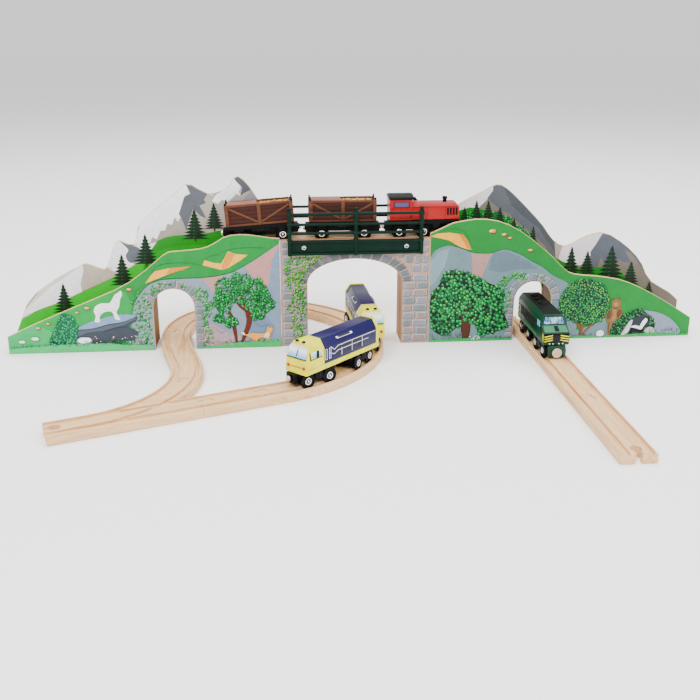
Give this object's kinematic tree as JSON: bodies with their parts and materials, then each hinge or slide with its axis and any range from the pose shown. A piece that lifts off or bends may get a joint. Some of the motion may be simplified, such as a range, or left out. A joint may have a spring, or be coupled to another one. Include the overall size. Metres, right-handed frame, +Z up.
{
  "type": "wooden train set",
  "caption": "Wooden toy railway: painted hill and arch bridge scenery with an upper line, floor track with a turnout, locomotives and wagons that roll in the grooves.",
  "frame": {"origin": "on the floor under the middle of the whole set, scenery and floor track together", "axes": "+X along the scenery to the right as seen from the front, +Y from the front boards to the back boards, +Z up"},
  "size_m": [0.96, 0.5752, 0.2318],
  "materials": {
    "hill_print": "satin printed board",
    "mountain_print": "satin printed board",
    "stone_print": "satin printed block",
    "bare_timber": "sanded bare wood",
    "beech_track": "sanded, lightly waxed beech",
    "green_plastic": "semi-gloss",
    "bright_metal": "polished",
    "brown_planks": "printed brown planks",
    "ore_load": "matt ore print",
    "black_plastic": "satin black",
    "red_paint": "gloss red paint",
    "blue_paint": "gloss blue paint",
    "green_paint": "gloss green paint",
    "wheel_black": "gloss black",
    "yellow_paint": "gloss yellow paint",
    "window_print": "gloss pale blue",
    "white_paint": "gloss white paint"
  },
  "bodies": {
    "layout": {"left_hill_front": "hill_print", "left_hill_back": "mountain_print", "left_ramp_track": "beech_track", "left_inner_block": "bare_timber", "left_outer_block": "bare_timber", "right_hill_front": "hill_print", "right_hill_back": "mountain_print", "right_ramp_track": "beech_track", "right_inner_block": "bare_timber", "right_outer_block": "bare_timber", "arch_bridge": "stone_print", "bridge_deck_track": "beech_track", "front_railing": "green_plastic", "back_railing": "green_plastic", "railing_screw_left": "bright_metal", "railing_screw_right": "bright_metal", "turnout_track": "beech_track", "short_straight_track": "beech_track", "curve_track_1": "beech_track", "curve_track_2": "beech_track", "curve_track_3": "beech_track", "curve_track_4": "beech_track", "s_bend_track": "beech_track", "right_track_long": "beech_track", "right_track_short": "beech_track"},
    "wagon_1": {"wagon_1_body": "brown_planks", "wagon_1_load": "ore_load", "wagon_1_chassis": "black_plastic"},
    "wagon_2": {"wagon_2_body": "brown_planks", "wagon_2_load": "ore_load", "wagon_2_chassis": "black_plastic"},
    "red_loco": {"red_loco_body": "red_paint", "red_loco_chassis": "black_plastic"},
    "blue_loco_a": {"blue_loco_a_body": "blue_paint"},
    "blue_loco_a_front_bogie": {"blue_loco_a_front_bogie": "black_plastic"},
    "blue_loco_a_rear_bogie": {"blue_loco_a_rear_bogie": "black_plastic"},
    "blue_loco_b": {"blue_loco_b_body": "blue_paint"},
    "blue_loco_b_front_bogie": {"blue_loco_b_front_bogie": "black_plastic"},
    "blue_loco_b_rear_bogie": {"blue_loco_b_rear_bogie": "black_plastic"},
    "green_loco": {"green_loco_body": "green_paint", "green_loco_chassis": "black_plastic"},
    "wagon_1_wheels_rear": {"wagon_1_wheels_rear": "wheel_black"},
    "wagon_1_wheels_front": {"wagon_1_wheels_front": "wheel_black"},
    "wagon_2_wheels_rear": {"wagon_2_wheels_rear": "wheel_black"},
    "wagon_2_wheels_front": {"wagon_2_wheels_front": "wheel_black"},
    "red_loco_wheels_rear": {"red_loco_wheels_rear": "wheel_black"},
    "red_loco_wheels_middle": {"red_loco_wheels_middle": "wheel_black"},
    "red_loco_wheels_front": {"red_loco_wheels_front": "wheel_black"},
    "blue_loco_a_front_wheels_1": {"blue_loco_a_front_wheels_1": "wheel_black"},
    "blue_loco_a_front_wheels_2": {"blue_loco_a_front_wheels_2": "wheel_black"},
    "blue_loco_a_rear_wheels_1": {"blue_loco_a_rear_wheels_1": "wheel_black"},
    "blue_loco_a_rear_wheels_2": {"blue_loco_a_rear_wheels_2": "wheel_black"},
    "blue_loco_b_front_wheels_1": {"blue_loco_b_front_wheels_1": "wheel_black"},
    "blue_loco_b_front_wheels_2": {"blue_loco_b_front_wheels_2": "wheel_black"},
    "blue_loco_b_rear_wheels_1": {"blue_loco_b_rear_wheels_1": "wheel_black"},
    "blue_loco_b_rear_wheels_2": {"blue_loco_b_rear_wheels_2": "wheel_black"},
    "green_loco_wheels_1": {"green_loco_wheels_1": "wheel_black"},
    "green_loco_wheels_2": {"green_loco_wheels_2": "wheel_black"},
    "green_loco_wheels_3": {"green_loco_wheels_3": "wheel_black"},
    "green_loco_wheels_4": {"green_loco_wheels_4": "wheel_black"}
  },
  "joints": [
    {"name": "red_loco_run", "type": "slide", "parent": "layout", "child": "red_loco", "axis": [1, 0, 0], "range_m": [-0.06, 0.005]},
    {"name": "wagon_2_run", "type": "slide", "parent": "layout", "child": "wagon_2", "axis": [1, 0, 0], "range_m": [-0.061, 0.006]},
    {"name": "wagon_1_run", "type": "hinge", "parent": "layout", "child": "wagon_1", "pos_m": [-0.111, 0.12124, -0.15], "axis": [0, 1, 0], "range_deg": [-11.65, 1.15]},
    {"name": "blue_train_run", "type": "hinge", "parent": "layout", "child": "blue_loco_a", "pos_m": [-0.176, 0.09124, 0.009], "axis": [0, 0, 1], "range_deg": [-6, 33]},
    {"name": "blue_loco_b_run", "type": "hinge", "parent": "layout", "child": "blue_loco_b", "pos_m": [-0.176, 0.09124, 0.009], "axis": [0, 0, 1], "range_deg": [-6.2, 33.2]},
    {"name": "green_loco_run", "type": "slide", "parent": "layout", "child": "green_loco", "axis": [0, 1, 0], "range_m": [-0.15, 0.05]},
    {"name": "blue_loco_a_front_bogie_swivel", "type": "hinge", "parent": "blue_loco_a", "child": "blue_loco_a_front_bogie", "pos_m": [-0.0727, -0.06543, 0.033], "axis": [0, 0, 1], "range_deg": [-1.5, 1.5]},
    {"name": "blue_loco_a_rear_bogie_swivel", "type": "hinge", "parent": "blue_loco_a", "child": "blue_loco_a_rear_bogie", "pos_m": [-0.01651, -0.00765, 0.033], "axis": [0, 0, 1], "range_deg": [-1.5, 1.5]},
    {"name": "blue_loco_b_front_bogie_swivel", "type": "hinge", "parent": "blue_loco_b", "child": "blue_loco_b_front_bogie", "pos_m": [0.00945, 0.06253, 0.033], "axis": [0, 0, 1], "range_deg": [-1.5, 1.5]},
    {"name": "blue_loco_b_rear_bogie_swivel", "type": "hinge", "parent": "blue_loco_b", "child": "blue_loco_b_rear_bogie", "pos_m": [0.00439, 0.14297, 0.033], "axis": [0, 0, 1], "range_deg": [-1.5, 1.5]},
    {"name": "wagon_1_wheels_rear_spin", "type": "hinge", "parent": "wagon_1", "child": "wagon_1_wheels_rear", "pos_m": [-0.16179, 0.12124, 0.15302], "axis": [0, 1, 0], "continuous": true},
    {"name": "wagon_1_wheels_front_spin", "type": "hinge", "parent": "wagon_1", "child": "wagon_1_wheels_front", "pos_m": [-0.10394, 0.12124, 0.15717], "axis": [0, 1, 0], "continuous": true},
    {"name": "wagon_2_wheels_rear_spin", "type": "hinge", "parent": "wagon_2", "child": "wagon_2_wheels_rear", "pos_m": [-0.051, 0.12124, 0.1573], "axis": [0, 1, 0], "continuous": true},
    {"name": "wagon_2_wheels_front_spin", "type": "hinge", "parent": "wagon_2", "child": "wagon_2_wheels_front", "pos_m": [0.007, 0.12124, 0.1573], "axis": [0, 1, 0], "continuous": true},
    {"name": "red_loco_wheels_rear_spin", "type": "hinge", "parent": "red_loco", "child": "red_loco_wheels_rear", "pos_m": [0.0555, 0.12124, 0.1573], "axis": [0, 1, 0], "continuous": true},
    {"name": "red_loco_wheels_middle_spin", "type": "hinge", "parent": "red_loco", "child": "red_loco_wheels_middle", "pos_m": [0.0895, 0.12124, 0.1573], "axis": [0, 1, 0], "continuous": true},
    {"name": "red_loco_wheels_front_spin", "type": "hinge", "parent": "red_loco", "child": "red_loco_wheels_front", "pos_m": [0.1235, 0.12124, 0.1573], "axis": [0, 1, 0], "continuous": true},
    {"name": "blue_loco_a_front_wheels_1_spin", "type": "hinge", "parent": "blue_loco_a_front_bogie", "child": "blue_loco_a_front_wheels_1", "pos_m": [-0.08605, -0.07423, 0.0193], "axis": [0.5505, -0.8348, 0], "continuous": true},
    {"name": "blue_loco_a_front_wheels_2_spin", "type": "hinge", "parent": "blue_loco_a_front_bogie", "child": "blue_loco_a_front_wheels_2", "pos_m": [-0.05934, -0.05662, 0.0193], "axis": [0.5505, -0.8348, 0], "continuous": true},
    {"name": "blue_loco_a_rear_wheels_1_spin", "type": "hinge", "parent": "blue_loco_a_rear_bogie", "child": "blue_loco_a_rear_wheels_1", "pos_m": [-0.02494, -0.02125, 0.0193], "axis": [0.8499, -0.527, 0], "continuous": true},
    {"name": "blue_loco_a_rear_wheels_2_spin", "type": "hinge", "parent": "blue_loco_a_rear_bogie", "child": "blue_loco_a_rear_wheels_2", "pos_m": [-0.00808, 0.00595, 0.0193], "axis": [0.8499, -0.527, 0], "continuous": true},
    {"name": "blue_loco_b_front_wheels_1_spin", "type": "hinge", "parent": "blue_loco_b_front_bogie", "child": "blue_loco_b_front_wheels_1", "pos_m": [0.007, 0.04672, 0.0193], "axis": [0.9882, -0.153, 0], "continuous": true},
    {"name": "blue_loco_b_front_wheels_2_spin", "type": "hinge", "parent": "blue_loco_b_front_bogie", "child": "blue_loco_b_front_wheels_2", "pos_m": [0.0119, 0.07834, 0.0193], "axis": [0.9882, -0.153, 0], "continuous": true},
    {"name": "blue_loco_b_rear_wheels_1_spin", "type": "hinge", "parent": "blue_loco_b_rear_bogie", "child": "blue_loco_b_rear_wheels_1", "pos_m": [0.0088, 0.12759, 0.0193], "axis": [0.9613, 0.2756, 0], "continuous": true},
    {"name": "blue_loco_b_rear_wheels_2_spin", "type": "hinge", "parent": "blue_loco_b_rear_bogie", "child": "blue_loco_b_rear_wheels_2", "pos_m": [-0.00002, 0.15835, 0.0193], "axis": [0.9613, 0.2756, 0], "continuous": true},
    {"name": "green_loco_wheels_1_spin", "type": "hinge", "parent": "green_loco", "child": "green_loco_wheels_1", "pos_m": [0.247, -0.00176, 0.0193], "axis": [1, 0, 0], "continuous": true},
    {"name": "green_loco_wheels_2_spin", "type": "hinge", "parent": "green_loco", "child": "green_loco_wheels_2", "pos_m": [0.247, 0.03224, 0.0193], "axis": [1, 0, 0], "continuous": true},
    {"name": "green_loco_wheels_3_spin", "type": "hinge", "parent": "green_loco", "child": "green_loco_wheels_3", "pos_m": [0.247, 0.06624, 0.0193], "axis": [1, 0, 0], "continuous": true},
    {"name": "green_loco_wheels_4_spin", "type": "hinge", "parent": "green_loco", "child": "green_loco_wheels_4", "pos_m": [0.247, 0.10024, 0.0193], "axis": [1, 0, 0], "continuous": true}
  ],
  "couplings": [
    {"joint": "blue_loco_b_run", "follows": "blue_train_run", "ratio": 1},
    {"joint": "wagon_2_run", "follows": "red_loco_run", "ratio": 1},
    {"joint": "wagon_1_run", "follows": "red_loco_run", "rad_per_m": 3.3333},
    {"joint": "wagon_1_wheels_rear_spin", "follows": "red_loco_run", "rad_per_m": 99},
    {"joint": "wagon_1_wheels_front_spin", "follows": "red_loco_run", "rad_per_m": 99},
    {"joint": "wagon_2_wheels_rear_spin", "follows": "red_loco_run", "rad_per_m": 100},
    {"joint": "wagon_2_wheels_front_spin", "follows": "red_loco_run", "rad_per_m": 100},
    {"joint": "red_loco_wheels_rear_spin", "follows": "red_loco_run", "rad_per_m": 100},
    {"joint": "red_loco_wheels_middle_spin", "follows": "red_loco_run", "rad_per_m": 100},
    {"joint": "red_loco_wheels_front_spin", "follows": "red_loco_run", "rad_per_m": 100},
    {"joint": "blue_loco_a_front_wheels_1_spin", "follows": "blue_train_run", "ratio": -18.8},
    {"joint": "blue_loco_a_front_wheels_2_spin", "follows": "blue_train_run", "ratio": -18.8},
    {"joint": "blue_loco_a_rear_wheels_1_spin", "follows": "blue_train_run", "ratio": -18.8},
    {"joint": "blue_loco_a_rear_wheels_2_spin", "follows": "blue_train_run", "ratio": -18.8},
    {"joint": "blue_loco_b_front_wheels_1_spin", "follows": "blue_train_run", "ratio": -18.8},
    {"joint": "blue_loco_b_front_wheels_2_spin", "follows": "blue_train_run", "ratio": -18.8},
    {"joint": "blue_loco_b_rear_wheels_1_spin", "follows": "blue_train_run", "ratio": -18.8},
    {"joint": "blue_loco_b_rear_wheels_2_spin", "follows": "blue_train_run", "ratio": -18.8},
    {"joint": "green_loco_wheels_1_spin", "follows": "green_loco_run", "rad_per_m": -100},
    {"joint": "green_loco_wheels_2_spin", "follows": "green_loco_run", "rad_per_m": -100},
    {"joint": "green_loco_wheels_3_spin", "follows": "green_loco_run", "rad_per_m": -100},
    {"joint": "green_loco_wheels_4_spin", "follows": "green_loco_run", "rad_per_m": -100}
  ]
}
